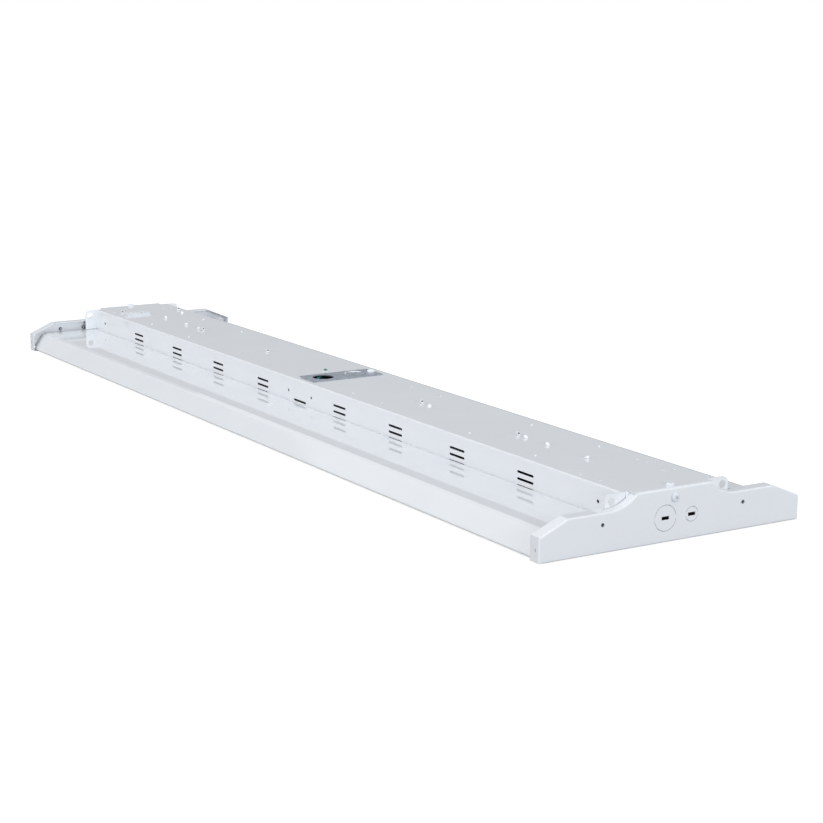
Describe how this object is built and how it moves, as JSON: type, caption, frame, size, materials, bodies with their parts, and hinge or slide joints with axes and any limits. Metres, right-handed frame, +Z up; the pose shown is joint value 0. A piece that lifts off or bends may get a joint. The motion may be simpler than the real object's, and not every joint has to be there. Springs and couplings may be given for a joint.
{
  "type": "high bay light",
  "caption": "Linear LED high bay light: bent sheet channel between lamp trays, flanged end plates, ears to hang it by and a plate with a cable hole on top.",
  "frame": {"origin": "centre of the light's plan, at the underside of the end plates", "axes": "+X along the light towards the near end plate, +Z up, towards the channel top"},
  "size_m": [1.1214, 0.27, 0.0494],
  "materials": {
    "white_paint": "gloss",
    "galvanised": "satin",
    "painted_screws": "gloss",
    "zinc_screws": "satin",
    "ground_green": "satin",
    "diffuser": "satin",
    "board_white": "satin",
    "led_yellow": "gloss",
    "driver_case": "satin",
    "white_nylon": "satin",
    "rivet_aluminium": "satin"
  },
  "bodies": {
    "root": {"channel_housing": "white_paint", "end_plate_near": "white_paint", "end_plate_far": "white_paint", "wing_tray_left": "white_paint", "wing_tray_right": "white_paint", "channel_cover": "white_paint", "access_plate": "galvanised", "end_face_screws": "painted_screws", "end_top_screws": "painted_screws", "access_plate_screw": "zinc_screws", "driver_screws": "zinc_screws", "ground_screw": "ground_green", "lens_left": "diffuser", "lens_right": "diffuser", "led_board_left_near": "board_white", "led_board_left_far": "board_white", "led_board_right_near": "board_white", "led_board_right_far": "board_white", "led_chips_left": "led_yellow", "led_chips_right": "led_yellow", "driver_near": "driver_case", "driver_far": "driver_case", "wire_saddles": "white_nylon", "push_rivets": "white_nylon", "hole_plugs": "white_nylon", "terminal_strip": "white_nylon", "tray_rivets": "rivet_aluminium"}
  },
  "joints": []
}
